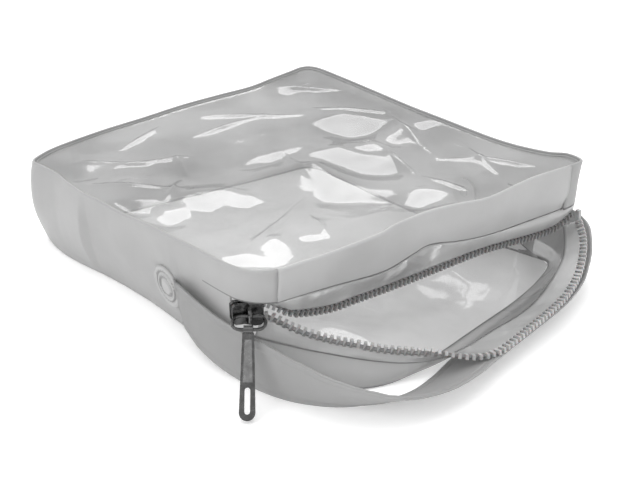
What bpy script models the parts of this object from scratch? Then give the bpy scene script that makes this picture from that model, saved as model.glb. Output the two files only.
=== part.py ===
"""Shoe bag: a flat pouch of clear vinyl with a frosted side band, a moulded-tooth zip and a strap.

The bag lies on its bottom panel. X runs along the zip side, the mouth faces -Y, Z is up, and the
origin is on the floor under the middle of the bag. Units are metres.
"""
import math

import bmesh
import bpy
from mathutils import Matrix, Vector

MM = 0.001

# Driving dimensions: the rim of the top, and the edge of the bottom, corner by corner.
RIM = {
    "front_left": Vector((-110, -119, 61)) * MM,
    "back_left": Vector((-112, 121, 50)) * MM,
    "back_right": Vector((104, 119, 74)) * MM,
    "front_right": Vector((112, -119, 67)) * MM,
}
BASE = {
    "front_left": Vector((-103, -116, 0)) * MM,
    "back_left": Vector((-109, 116, 0)) * MM,
    "back_right": Vector((101, 114, 0)) * MM,
    "front_right": Vector((111, -115, 0)) * MM,
}
CORNERS = ("front_left", "back_left", "back_right", "front_right")
CORNER_RADII = {
    "front_left": 18 * MM,
    "back_left": 12 * MM,
    "back_right": 16 * MM,
    "front_right": 9 * MM,
}
RIM_BOWS = (1.5 * MM, 0.0, -6 * MM, 0.0)        # left, back, right and front sides, outward
BASE_BOWS = (-2 * MM, 0.0, -2 * MM, 0.0)
SIDE_STEPS = 8
ARC_STEPS = 5

BAND_THICKNESS = 1.0 * MM
PANEL_THICKNESS = 0.8 * MM
TAPE_THICKNESS = 0.7 * MM
GAP = 0.3 * MM
PANEL_INSET = 1.2 * MM                          # panel edges inside the middle of the band
TOP_SAG = 5 * MM

# The zip, from the slider to the right-hand stop.
TEETH = 78
STOP_SIZE = Vector((2.4, 3.0, 7.0)) * MM
STOP_RIGHT = Vector((114.2, -120.5, 33.2)) * MM
TOOTH = Vector((1.5, 3.9, 2.3)) * MM            # along the tape, across it, through it
TOOTH_REACH = 0.65 * MM                          # from the cord to the middle of a tooth
CORD_RADIUS = 1.1 * MM
TAPE_EDGE = 1.8 * MM                            # from the middle of the cord
CORD_POINTS = 44
TAPE_START = 2                                  # the cord's first points lie in the slider
UPPER_WELD_Z = 43.5 * MM
UPPER_ZIP = [Vector(p) * MM for p in (
    (-101.6, -106.5, 40.6), (-96.5, -109, 40.3), (-92, -113.5, 37.5), (-86, -116.8, 34.6), (-67, -118.2, 31.3),
    (-52, -118.2, 31), (-18, -118.2, 31), (18, -118.2, 32), (37, -118.2, 32.4), (56, -118.2, 31.3),
    (76, -118.5, 29.9), (97, -118.5, 30), (111, -118.2, 35.5),
)]
LOWER_ZIP = [Vector(p) * MM for p in (
    (-101.4, -106.5, 32.5), (-96.5, -109, 32.2), (-88, -121.5, 27.2), (-77, -131, 22.5), (-67, -138, 19.5),
    (-58, -145, 17), (-47, -152, 14.8), (-33, -160.5, 12.8), (-21, -170.2, 11.4), (-9, -174, 11.4),
    (5, -172.2, 12), (20, -168.8, 12.5), (38, -165, 13.3), (57, -160, 14.6), (76, -152.2, 17.8),
    (90, -143.8, 22.7), (102, -134, 26.8), (111.5, -122.5, 31),
)]
LOWER_WELD = [Vector(p) * MM for p in (
    (-105.6, -103, 24), (-99, -112, 22), (-86, -123.7, 17.8), (-76, -131, 14.8), (-67, -138, 12.4),
    (-57.5, -145, 10.4), (-48, -151.5, 9.2), (-37, -156.5, 8.6), (-24, -158.5, 8.4), (-8, -157.5, 8.4),
    (11, -155, 9), (28, -153.5, 9.6), (44, -150.5, 10.6), (60, -145.5, 13), (74, -141, 17.5),
    (86, -135, 21), (97, -126.5, 23.5), (109, -115, 26.5),
)]
LIP_SEAM = [Vector(p) * MM for p in (
    (-102.6, -101.6, 0), (-98, -117, 0), (-88, -131.5, 0), (-75, -143, 0), (-58, -150, 0), (-38, -150, 0),
    (-15, -144.5, 0), (20, -137, 0), (55, -129.5, 0), (84, -120.5, 0), (108.5, -108, 0),
)]
LIP_STEPS = 30

# Slider, link and pull.
SLIDER_POINT = Vector((-105.5, -105, 36.5)) * MM
SLIDER_YAW = math.radians(-20)
SLIDER_LENGTH = 15 * MM
SLIDER_NOSE = 13.5 * MM                         # height at the end where the halves part
SLIDER_TAIL = 10 * MM
PLATE = 1.2 * MM
CHANNEL = 3.8 * MM                              # between the two plates
FLANGE_GAP = 1.5 * MM                           # slit for the tape
CROWN_HEIGHT = 9.5 * MM
CROWN_REACH = 5.0 * MM
CROWN_BAR = 0.9 * MM                            # radius of its wire
LINK_WIDTH = 17 * MM
LINK_DEPTH = 11 * MM
LINK_WIRE = 0.85 * MM
LINK_PIVOT = 2.2 * MM                           # its back bar, outside the slider's front plate
LINK_YAW = math.radians(-38)
LINK_DROOP = math.radians(14)                   # below the horizontal, at rest
PULL_TIP = Vector((-133.5, -131.5, 1.8)) * MM
PULL_EYE = 2.0 * MM                             # radius of the barrel on the link
PULL_RECESS = 0.35 * MM
PULL_WIDTH_TOP = 5.4 * MM
PULL_WIDTH_END = 7.4 * MM
PULL_THICKNESS = 1.7 * MM
PULL_RIM = 1.1 * MM
PULL_SLOT = (12 * MM, 2.6 * MM)

# Strap: its lower edge from the left rivet round the front to the right rivet, as
# (x, y, z in millimetres, degrees that the strap's width rises from the floor).
STRAP_WIDTH = 27 * MM
STRAP_THICKNESS = 1.2 * MM
STRAP_STATIONS = (
    (-110.4, -56, 8, 82), (-113.4, -74, 5.5, 88), (-113.3, -92, 3.2, 90), (-110.8, -110, 1.8, 90),
    (-106.5, -125, 1, 86), (-99.5, -139, 0.9, 74), (-87, -152, 0.7, 54), (-71, -160, 0.7, 36),
    (-54, -163, 0.7, 28), (-36, -159.5, 0.7, 24), (-14, -152, 0.7, 20), (20, -143, 0.7, 18),
    (54, -135, 0.7, 19), (78, -128.5, 0.9, 27), (96, -123, 2, 45), (109.5, -116.5, 4, 62),
    (115.5, -104, 6, 74), (115.5, -88, 7.5, 82), (112.8, -72, 8.5, 86), (110, -56, 10, 86),
)
STRAP_STEPS = 54
TONGUE_WIDTH = 17 * MM
TONGUE_REACH = 14.5 * MM                        # from the rivet forward to the strap's square end

# Rivets that hold the strap to the side walls.
RIVET_Y = -40 * MM
RIVET_Z = 25.4 * MM
RIVET_RADIUS = 12 * MM
RIVET_POST = 2.6 * MM
RIVET_BACK_RADIUS = 9 * MM
RIVET_BACK_THICKNESS = 1.4 * MM
CAP_RINGS = (                                   # share of the radius, height above the cap's underside
    (1.0, 1.0), (0.96, 1.5), (0.86, 1.8), (0.76, 1.5), (0.7, 1.2), (0.62, 1.8), (0.54, 1.9), (0.46, 1.4),
    (0.38, 1.5), (0.3, 2.1), (0.18, 2.2), (0, 2.2),
)
HOLE_CLEARANCE = 0.3 * MM


# ---------------------------------------------------------------- scene and materials

def clear_scene():
    for obj in list(bpy.data.objects):
        bpy.data.objects.remove(obj, do_unlink=True)


def make_collection(name, hidden=False):
    collection = bpy.data.collections.new(name)
    bpy.context.scene.collection.children.link(collection)
    collection.hide_render = hidden
    return collection


def make_material(name, color, roughness, metallic=0.0, alpha=1.0):
    material = bpy.data.materials.new(name)
    material.use_nodes = True
    shader = material.node_tree.nodes["Principled BSDF"]
    shader.inputs["Base Color"].default_value = (*color, 1.0)
    shader.inputs["Roughness"].default_value = roughness
    shader.inputs["Metallic"].default_value = metallic
    shader.inputs["Alpha"].default_value = alpha
    return material


def add_part(name, mesh, material, parent=None, matrix=None):
    """Links a mesh as a named part. matrix is its place under its parent."""
    obj = bpy.data.objects.new(name, mesh)
    PARTS.objects.link(obj)
    mesh.materials.clear()
    mesh.materials.append(material)
    obj.parent = parent
    if matrix is not None:
        obj.matrix_local = matrix
    return obj


def add_empty(name, parent=None, matrix=None):
    empty = bpy.data.objects.new(name, None)
    PARTS.objects.link(empty)
    empty.parent = parent
    if matrix is not None:
        empty.matrix_local = matrix
    return empty


def add_cutter(name, mesh, parent=None, matrix=None):
    cutter = bpy.data.objects.new(name, mesh)
    CUTTERS.objects.link(cutter)
    cutter.hide_render = True
    cutter.display_type = "WIRE"
    cutter.parent = parent
    if matrix is not None:
        cutter.matrix_local = matrix
    return cutter


def combine(obj, other, operation):
    boolean = obj.modifiers.new(operation.lower() + "_" + other.name, "BOOLEAN")
    boolean.operation = operation
    boolean.object = other


# ---------------------------------------------------------------- curves and sheets

def spline(points, count):
    """Evenly spaced points on a smooth curve through the given ones."""
    fine = []
    padded = [points[0] * 2 - points[1], *points, points[-1] * 2 - points[-2]]
    for i in range(1, len(padded) - 2):
        before, start, end, after = padded[i - 1:i + 3]
        for step in range(12):
            t = step / 12
            fine.append(0.5 * (
                start * 2
                + (end - before) * t
                + (before * 2 - start * 5 + end * 4 - after) * t ** 2
                + (start * 3 - before - end * 3 + after) * t ** 3
            ))
    fine.append(points[-1])
    return resample(fine, count)


def resample(points, count):
    lengths = [0.0]
    for a, b in zip(points[:-1], points[1:]):
        lengths.append(lengths[-1] + (b - a).length)
    result = []
    i = 0
    for k in range(count):
        target = lengths[-1] * k / (count - 1)
        while i < len(points) - 2 and lengths[i + 1] < target:
            i += 1
        t = (target - lengths[i]) / (lengths[i + 1] - lengths[i])
        result.append(points[i].lerp(points[i + 1], t))
    return result


def beside(points, distance):
    """A level line moved to the left of its own direction."""
    result = []
    for i, point in enumerate(points):
        ahead = points[min(i + 1, len(points) - 1)] - points[max(i - 1, 0)]
        result.append(point + Vector((-ahead.y, ahead.x, 0)).normalized() * distance)
    return result


def rounded_loop(corners, bows, inset=0.0):
    """Walks the four sides clockwise from above, with an arc at the end of each side."""
    centre = sum((corners[name] for name in CORNERS), Vector()) / 4
    loop = []
    for i, name in enumerate(CORNERS):
        here = corners[name]
        there = corners[CORNERS[(i + 1) % 4]]
        beyond = corners[CORNERS[(i + 2) % 4]]
        radius = CORNER_RADII[CORNERS[(i + 1) % 4]]
        run = (there - here).normalized()
        start = here + run * CORNER_RADII[name]
        end = there - run * radius
        turn = there + (beyond - there).normalized() * radius
        outward = Vector((-run.y, run.x, 0)).normalized()
        for step in range(SIDE_STEPS):
            t = step / SIDE_STEPS
            loop.append(start.lerp(end, t) + outward * bows[i] * 4 * t * (1 - t))
        for step in range(ARC_STEPS):
            t = step / ARC_STEPS
            loop.append(end.lerp(there, t).lerp(there.lerp(turn, t), t))
    for point in loop:
        inward = Vector((centre.x - point.x, centre.y - point.y, 0))
        point.x += math.copysign(min(inset, abs(inward.x)), inward.x)
        point.y += math.copysign(min(inset, abs(inward.y)), inward.y)
    return loop


def sheet_mesh(name, rows, leave_out=()):
    """An open grid through rows of points. leave_out holds (row, column) faces to skip."""
    mesh = bpy.data.meshes.new(name)
    bm = bmesh.new()
    grid = [[bm.verts.new(point) for point in row] for row in rows]
    for r in range(len(rows) - 1):
        for c in range(len(rows[0]) - 1):
            if (r, c) not in leave_out:
                bm.faces.new((grid[r][c], grid[r][c + 1], grid[r + 1][c + 1], grid[r + 1][c]))
    loose = [v for v in bm.verts if not v.link_faces]
    bmesh.ops.delete(bm, geom=loose, context="VERTS")
    bm.to_mesh(mesh)
    bm.free()
    return mesh


def add_sheet(name, rows, thickness, material, leave_out=()):
    obj = add_part(name, sheet_mesh(name, rows, leave_out), material)
    add_thickness(obj, thickness)
    return obj


def add_thickness(obj, thickness):
    solidify = obj.modifiers.new("thickness", "SOLIDIFY")
    solidify.thickness = thickness
    solidify.offset = 0.0
    solidify.use_even_offset = True


def outline_mesh(name, outline, thickness):
    """A flat plate in its XZ plane: a filled 2D curve, extruded, turned upright and meshed."""
    curve = bpy.data.curves.new(name, "CURVE")
    curve.dimensions = "2D"
    curve.fill_mode = "BOTH"
    curve.extrude = thickness / 2
    for ring in outline:
        strand = curve.splines.new("POLY")
        strand.points.add(len(ring) - 1)
        for point, (x, z) in zip(strand.points, ring):
            point.co = (x, z, 0, 1)
        strand.use_cyclic_u = True
    mesh = mesh_from_curve(name, curve)
    mesh.transform(Matrix.Rotation(math.pi / 2, 4, "X"))
    return mesh


def tube_mesh(name, points, radius, resolution, cyclic=False):
    curve = bpy.data.curves.new(name, "CURVE")
    curve.dimensions = "3D"
    curve.bevel_depth = radius
    curve.bevel_resolution = resolution
    curve.use_fill_caps = not cyclic
    strand = curve.splines.new("POLY")
    strand.points.add(len(points) - 1)
    for point, place in zip(strand.points, points):
        point.co = (*place, 1)
    strand.use_cyclic_u = cyclic
    return mesh_from_curve(name, curve)


def mesh_from_curve(name, curve):
    """Meshes a curve, welds its loose caps and removes the curve."""
    source = bpy.data.objects.new(name + "_curve", curve)
    bpy.context.scene.collection.objects.link(source)
    depsgraph = bpy.context.evaluated_depsgraph_get()
    mesh = bpy.data.meshes.new_from_object(source.evaluated_get(depsgraph))
    bpy.data.objects.remove(source, do_unlink=True)
    bm = bmesh.new()
    bm.from_mesh(mesh)
    bmesh.ops.remove_doubles(bm, verts=bm.verts, dist=1e-6)
    bmesh.ops.recalc_face_normals(bm, faces=bm.faces)
    bm.to_mesh(mesh)
    bm.free()
    return mesh


def box_mesh(name, size, matrices):
    mesh = bpy.data.meshes.new(name)
    bm = bmesh.new()
    for matrix in matrices:
        bmesh.ops.create_cube(bm, size=1.0, matrix=matrix @ Matrix.Diagonal((*size, 1)))
    bm.to_mesh(mesh)
    bm.free()
    return mesh


def cylinder_mesh(name, radius, length, segments, matrix):
    mesh = bpy.data.meshes.new(name)
    bm = bmesh.new()
    bmesh.ops.create_cone(
        bm, cap_ends=True, segments=segments, radius1=radius, radius2=radius, depth=length, matrix=matrix)
    bm.to_mesh(mesh)
    bm.free()
    return mesh


# ---------------------------------------------------------------- panels and bands

def wall_rows(columns_low, columns_high, levels):
    """Rows between a low and a high line; a level is a fraction of the height."""
    return [[low.lerp(high, level) for low, high in zip(columns_low, columns_high)] for level in levels]


def build_side_band(material, cutters):
    """One strip round the left, back and right walls. At the near corner only its upper part goes on."""
    rim = rounded_loop(RIM, RIM_BOWS)
    base = rounded_loop(BASE, BASE_BOWS)
    last_arc = len(rim) - ARC_STEPS
    right_end = 3 * (SIDE_STEPS + ARC_STEPS)
    order = list(range(last_arc, len(rim))) + list(range(right_end + 1))
    high = [rim[i] for i in order]
    low = [base[i] for i in order]
    level = UPPER_WELD_Z / RIM["front_left"].z
    rows = wall_rows(low, high, (0.0, level, 1.0))
    last = len(order) - 1
    corner_opening = {(0, c) for c in (*range(ARC_STEPS), *range(last - ARC_STEPS, last))}
    band = add_sheet("side_band", rows, BAND_THICKNESS, material, corner_opening)
    for cutter in cutters:
        combine(band, cutter, "DIFFERENCE")
    return band


def build_front_band_upper(material):
    rim = rounded_loop(RIM, RIM_BOWS)
    base = rounded_loop(BASE, BASE_BOWS)
    first = 3 * (SIDE_STEPS + ARC_STEPS)
    high = rim[first:first + SIDE_STEPS + 1]
    low = [a.lerp(b, UPPER_WELD_Z / b.z) for a, b in zip(base[first:first + SIDE_STEPS + 1], high)]
    clearance = Vector((BAND_THICKNESS / 2 + GAP, 0, 0))
    for row in (low, high):
        row[0] = row[0] - clearance
        row[-1] = row[-1] + clearance
    return add_sheet("front_band_upper", [low, high], BAND_THICKNESS, material)


def build_front_band_lower(material):
    """The lip under the zip: it rises from the bottom seam at the left and lies outward at the right."""
    seam = spline(LIP_SEAM, LIP_STEPS)
    weld = spline(LOWER_WELD, LIP_STEPS)
    seam = [point + Vector((0, 0, BAND_THICKNESS / 2)) for point in seam]
    middle = [low.lerp(high, 0.5) + Vector((0, -1.5, 0)) * MM for low, high in zip(seam, weld)]
    return add_sheet("front_band_lower", [seam, middle, weld], BAND_THICKNESS, material)


def build_top_panel(material):
    """A clear sheet stretched inside the rim, sagging towards its middle."""
    rim = rounded_loop(RIM, RIM_BOWS, inset=PANEL_INSET)
    centre = sum(rim, Vector()) / len(rim)
    mesh = bpy.data.meshes.new("top_panel")
    bm = bmesh.new()
    hub = bm.verts.new(centre - Vector((0, 0, TOP_SAG)))
    outer = None
    for scale in (1.0, 0.88, 0.62, 0.32):
        sag = Vector((0, 0, TOP_SAG * (1 - scale ** 2)))
        ring = [bm.verts.new(centre.lerp(point, scale) - sag) for point in rim]
        if outer:
            for i in range(len(ring)):
                bm.faces.new((outer[i - 1], outer[i], ring[i], ring[i - 1]))
        outer = ring
    for i in range(len(outer)):
        bm.faces.new((outer[i - 1], outer[i], hub))
    bm.to_mesh(mesh)
    bm.free()
    panel = add_part("top_panel", mesh, material)
    add_thickness(panel, PANEL_THICKNESS)
    return panel


def build_bottom_panel(material):
    """A flat clear sheet: three straight sides, and a front edge that follows the lip's seam."""
    base = rounded_loop(BASE, BASE_BOWS, inset=PANEL_INSET)
    walls = base[:3 * (SIDE_STEPS + ARC_STEPS) - ARC_STEPS]
    front = beside(spline(LIP_SEAM, LIP_STEPS), PANEL_INSET)[1:-1]
    outline = [*walls, *reversed(front)]
    mesh = outline_mesh("bottom_panel", [[(point.x, point.y) for point in outline]], PANEL_THICKNESS)
    mesh.transform(Matrix.Rotation(-math.pi / 2, 4, "X"))
    place = Matrix.Translation((0, 0, PANEL_THICKNESS / 2))
    return add_part("bottom_panel", mesh, material, matrix=place)


# ---------------------------------------------------------------- zip

def across_tape(points, edge):
    """At each point of a chain, the unit vector that leaves the tape's edge, upright in the slider."""
    result = []
    for i, (point, root) in enumerate(zip(points, edge)):
        out = (point - root).normalized()
        upright = Vector((0, 0, math.copysign(1, out.z)))
        out = out.lerp(upright, max(0.0, 1 - max(0, i - TAPE_START) / 5))
        ahead = (points[min(i + 1, len(points) - 1)] - points[max(i - 1, 0)]).normalized()
        result.append((out - ahead * out.dot(ahead)).normalized())
    return result


def build_tape(name, weld, chain, material):
    """The strip between a frosted band and the chain, short of both by the gap, clear of the slider."""
    low = []
    high = []
    for i in range(TAPE_START, len(chain)):
        step = chain[i] - weld[i]
        ahead = chain[min(i + 1, len(chain) - 1)] - chain[i - 1]
        across = (step - step.project(ahead)).normalized()
        low.append(weld[i] + step.normalized() * (BAND_THICKNESS / 2 + GAP))
        high.append(chain[i] - across * TAPE_EDGE)
    return add_sheet(name, [low, high], TAPE_THICKNESS, material)


def build_chain(name, chain, edge, material):
    """A cord with a row of moulded teeth across it, joined into one comb."""
    out = across_tape(chain, edge)
    places = []
    for k in range(TEETH):
        t = (k + 0.5) / TEETH * (len(chain) - 1)
        i = int(t)
        point = chain[i].lerp(chain[i + 1], t - i)
        reach = out[i].lerp(out[i + 1], t - i).normalized()
        run = (chain[i + 1] - chain[i]).normalized()
        through = run.cross(reach).normalized()
        axes = Matrix((run, through.cross(run), through)).transposed().to_4x4()
        places.append(Matrix.Translation(point + reach * TOOTH_REACH) @ axes)
    comb = add_part(name, tube_mesh(name, chain, CORD_RADIUS, 0), material)
    teeth = add_cutter(name + "_teeth", box_mesh(name + "_teeth", TOOTH, places))
    combine(comb, teeth, "UNION")
    return comb


def build_zip(tape_material, chain_material):
    upper_chain = spline(UPPER_ZIP, CORD_POINTS)
    lower_chain = spline(LOWER_ZIP, CORD_POINTS)
    upper_weld = [Vector((point.x, -118.5 * MM, UPPER_WELD_Z - BAND_THICKNESS / 2)) for point in upper_chain]
    lower_weld = spline([LOWER_WELD[1], *LOWER_WELD[2:]], CORD_POINTS)
    build_tape("zip_tape_upper", upper_weld, upper_chain, tape_material)
    build_tape("zip_tape_lower", lower_weld, lower_chain, tape_material)
    build_chain("zip_chain_upper", upper_chain, upper_weld, chain_material)
    build_chain("zip_chain_lower", lower_chain, lower_weld, chain_material)


def build_stops(material):
    """Retainer boxes: one in the slider's tail at the left, one where the open halves meet."""
    for name, place, yaw in (
            ("zip_stop_left", SLIDER_POINT + slider_axis() * -5.5 * MM, SLIDER_YAW),
            ("zip_stop_right", STOP_RIGHT, 0.0)):
        mesh = box_mesh(name, STOP_SIZE, [Matrix.Identity(4)])
        stop = add_part(name, mesh, material, matrix=Matrix.Translation(place) @ Matrix.Rotation(yaw, 4, "Z"))
        bevel = stop.modifiers.new("edges", "BEVEL")
        bevel.width = 0.5 * MM
        bevel.segments = 2


def slider_axis():
    return Vector((math.cos(SLIDER_YAW), math.sin(SLIDER_YAW), 0))


def shield(length, tail, nose, chamfer):
    """Outline of the slider, from the tail at -x to the nose at +x."""
    half = [
        (-length / 2, tail / 2 - chamfer), (-length / 2 + chamfer, tail / 2), (-length * 0.13, tail / 2),
        (length * 0.2, nose / 2), (length / 2 - chamfer, nose / 2), (length / 2, nose / 2 - chamfer),
    ]
    return half + [(x, -z) for x, z in reversed(half)]


def build_slider(material):
    """Two plates joined by a wedge at the nose, with slit flanges; X is along the zip, -Y is outward."""
    frame = add_empty(
        "slider_frame", matrix=Matrix.Translation(SLIDER_POINT) @ Matrix.Rotation(SLIDER_YAW, 4, "Z"))
    depth = CHANNEL + 2 * PLATE
    body = add_part(
        "slider_body", outline_mesh("slider_body", [shield(SLIDER_LENGTH, SLIDER_TAIL, SLIDER_NOSE, 1.4 * MM)],
                                    depth), material, frame)
    inner = shield(SLIDER_LENGTH * 1.4, SLIDER_TAIL - 2 * PLATE, SLIDER_NOSE - 2 * PLATE, 0.1 * MM)
    channel = add_cutter("slider_channel", outline_mesh("slider_channel", [inner], CHANNEL), frame)
    slit_size = Vector((2 * SLIDER_LENGTH, FLANGE_GAP, 2 * SLIDER_NOSE))
    slit = add_cutter("slider_slit", box_mesh("slider_slit", slit_size, [Matrix.Identity(4)]), frame)
    wedge_size = Vector((3.2 * MM, depth - PLATE, 1.6 * MM))
    wedge_place = Matrix.Translation((SLIDER_LENGTH / 2 - 2.4 * MM, 0, 0))
    wedge = add_cutter("slider_wedge", box_mesh("slider_wedge", wedge_size, [wedge_place]), frame)
    combine(body, channel, "DIFFERENCE")
    combine(body, slit, "DIFFERENCE")
    combine(body, wedge, "UNION")
    build_crown(material, frame, depth / 2)
    return frame


def build_crown(material, frame, plate_face):
    """A wire staple on the front plate, upright, which the link passes under."""
    points = []
    for step in range(11):
        angle = math.pi * step / 10
        side = math.cos(angle) * (CROWN_HEIGHT / 2 - CROWN_BAR)
        rise = math.sin(angle) ** 0.5 * (CROWN_REACH - CROWN_BAR)
        points.append(Vector((0, -plate_face - GAP - rise, side)))
    add_part("slider_crown", tube_mesh("slider_crown", points, CROWN_BAR, 1), material, frame)


def rounded_rectangle(width, depth, radius, steps):
    """Outline from the middle of the far side round to it again."""
    points = []
    for cx, cy, first in ((1, 1, 0), (-1, 1, 90), (-1, -1, 180), (1, -1, 270)):
        for step in range(steps + 1):
            angle = math.radians(first + 90 * step / steps)
            points.append((cx * (width / 2 - radius) + radius * math.cos(angle),
                           cy * (depth / 2 - radius) + radius * math.sin(angle)))
    return points


def build_link(material, slider):
    """An oval of wire: its back bar lies under the crown, and it droops outward."""
    bar = slider @ Vector((0, -(CHANNEL / 2 + PLATE + LINK_PIVOT), 0))
    place = Matrix.Translation(bar) @ Matrix.Rotation(LINK_YAW, 4, "Z") @ Matrix.Rotation(LINK_DROOP, 4, "X")
    frame = add_empty("link_frame", matrix=place)
    depth = LINK_DEPTH - 2 * LINK_WIRE
    outline = rounded_rectangle(LINK_WIDTH - 2 * LINK_WIRE, depth, depth * 0.42, 4)
    points = [Vector((x, y - depth / 2, 0)) for x, y in outline]
    add_part("link_ring", tube_mesh("link_ring", points, LINK_WIRE, 1, cyclic=True), material, frame)
    return place @ Vector((0, -depth, 0))


def build_pull(material, eye):
    """A long plate with a slot at its end, a raised rim, and a barrel that turns on the link."""
    drop = PULL_TIP - eye
    length = drop.length
    width_axis = Vector((math.cos(LINK_YAW), math.sin(LINK_YAW), 0))
    down = (drop - width_axis * drop.dot(width_axis)).normalized()
    axes = Matrix((width_axis, width_axis.cross(down) * -1, down * -1)).transposed().to_4x4()
    frame = add_empty("pull_frame", matrix=Matrix.Translation(eye) @ axes)
    start = -PULL_EYE * 0.75
    end = -length + PULL_WIDTH_END / 2
    outline = [(-PULL_WIDTH_TOP / 2, start), (PULL_WIDTH_TOP / 2, start)]
    outline += arc((0, end), PULL_WIDTH_END / 2, 0, -180, 10)
    slot_length, slot_width = PULL_SLOT
    slot_low = end + slot_width * 0.2
    slot = arc((0, slot_low), slot_width / 2, 0, -180, 6)
    slot += arc((0, slot_low + slot_length - slot_width), slot_width / 2, 180, 0, 6)
    plate = outline_mesh("pull_tab", [outline, slot], PULL_THICKNESS)
    tab = add_part("pull_tab", plate, material, frame)
    for name, face in (("pull_recess_front", -1), ("pull_recess_back", 1)):
        top = (PULL_WIDTH_TOP / 2 - PULL_RIM, start - 3 * MM)
        low = (PULL_WIDTH_END / 2 - PULL_RIM * 1.3, slot_low + slot_length + MM)
        hollow = [(-top[0], top[1]), top, low, (-low[0], low[1])]
        recess = outline_mesh(name, [hollow], PULL_RECESS * 2)
        recess.transform(Matrix.Translation((0, face * PULL_THICKNESS / 2, 0)))
        combine(tab, add_cutter(name, recess, frame), "DIFFERENCE")
    turn = Matrix.Rotation(math.pi / 2, 4, "Y")
    barrel = cylinder_mesh("pull_barrel", PULL_EYE, PULL_WIDTH_TOP * 0.8, 16, turn)
    combine(tab, add_cutter("pull_barrel", barrel, frame), "UNION")
    bore = cylinder_mesh("pull_bore", LINK_WIRE + GAP, PULL_WIDTH_TOP * 2, 12, turn)
    combine(tab, add_cutter("pull_bore", bore, frame), "DIFFERENCE")


def arc(centre, radius, first, last, steps):
    points = []
    for step in range(steps + 1):
        angle = math.radians(first + (last - first) * step / steps)
        points.append((centre[0] + radius * math.cos(angle), centre[1] + radius * math.sin(angle)))
    return points


# ---------------------------------------------------------------- strap and rivets

def wall_frame(first):
    """Frame on the wall at the rivet: X backwards along the wall, Z outward. first is the side's index."""
    rim = rounded_loop(RIM, RIM_BOWS)
    base = rounded_loop(BASE, BASE_BOWS)
    for i in range(first, first + SIDE_STEPS):
        ends = [base[i].lerp(rim[i], RIVET_Z / rim[i].z), base[i + 1].lerp(rim[i + 1], RIVET_Z / rim[i + 1].z)]
        if min(ends[0].y, ends[1].y) <= RIVET_Y <= max(ends[0].y, ends[1].y):
            t = (RIVET_Y - ends[0].y) / (ends[1].y - ends[0].y)
            low = base[i].lerp(base[i + 1], t)
            high = rim[i].lerp(rim[i + 1], t)
            point = ends[0].lerp(ends[1], t)
            along = (ends[1] - ends[0]).normalized()
            break
    if along.y < 0:
        along.negate()
    outward = along.cross(high - low).normalized()
    if outward.x * point.x < 0:
        outward.negate()
    up = outward.cross(along)
    if up.z < 0:
        along.negate()
        up.negate()
    return Matrix.Translation(point) @ Matrix((along, up, outward)).transposed().to_4x4()


def turned_mesh(name, profile, steps):
    """Spins a closed profile of (radius, height) points about Z."""
    mesh = bpy.data.meshes.new(name)
    bm = bmesh.new()
    verts = [bm.verts.new((r, 0, z)) for r, z in profile]
    edges = [bm.edges.new((verts[i - 1], verts[i])) for i in range(1, len(verts))]
    if profile[0][0] > 0:
        edges.append(bm.edges.new((verts[-1], verts[0])))
    bmesh.ops.spin(
        bm, geom=verts + edges, axis=(0, 0, 1), cent=(0, 0, 0), angle=2 * math.pi, steps=steps,
        use_merge=True)
    bmesh.ops.remove_doubles(bm, verts=bm.verts, dist=1e-6)
    bmesh.ops.recalc_face_normals(bm, faces=bm.faces)
    bm.to_mesh(mesh)
    bm.free()
    return mesh


def rivet_stack():
    """Heights above the middle of the wall: tongue's middle, underside of the cap."""
    tongue = BAND_THICKNESS / 2 + GAP + STRAP_THICKNESS / 2
    return tongue, tongue + STRAP_THICKNESS / 2 + GAP


def build_rivets(cap_material, back_material):
    """Ringed buttons outside, washers inside, and a post through both. Returns the wall's hole cutters."""
    cap_height = rivet_stack()[1]
    cutters = []
    for side, first in (("left", 0), ("right", 2 * (SIDE_STEPS + ARC_STEPS))):
        place = wall_frame(first)
        post_end = -(BAND_THICKNESS / 2 + GAP + RIVET_BACK_THICKNESS)
        profile = [(0, post_end), (RIVET_POST, post_end), (RIVET_POST, cap_height), (RIVET_RADIUS, cap_height)]
        profile += [(RIVET_RADIUS * r, cap_height + z * MM) for r, z in CAP_RINGS]
        cap = add_part("rivet_cap_" + side, turned_mesh("rivet_cap_" + side, profile, 28), cap_material,
                       matrix=place)
        cap.data.shade_smooth()
        top = -(BAND_THICKNESS / 2 + GAP)
        hole = RIVET_POST + HOLE_CLEARANCE
        washer = [(hole, top), (hole, post_end), (RIVET_BACK_RADIUS, post_end), (RIVET_BACK_RADIUS, top)]
        add_part("rivet_back_" + side, turned_mesh("rivet_back_" + side, washer, 24), back_material,
                 matrix=place)
        bore = cylinder_mesh("rivet_hole_" + side, hole, 12 * MM, 16, Matrix.Identity(4))
        cutters.append(add_cutter("rivet_hole_" + side, bore, matrix=place))
    return cutters


def tongue_rows(first):
    """Edges of the tongue under a cap, from its round end behind the rivet to the strap's square end."""
    place = wall_frame(first)
    height = rivet_stack()[0]
    backward = math.copysign(1, (place.to_3x3() @ Vector((1, 0, 0))).y)
    half = TONGUE_WIDTH / 2
    steps = [(half * math.sin(angle), half * math.cos(angle)) for angle in map(math.radians, (78, 60, 40, 15, 0))]
    steps.append((-TONGUE_REACH, half))
    return [[place @ Vector((backward * x, side * v, height)) for side in (-1, 1)] for x, v in steps]


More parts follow.
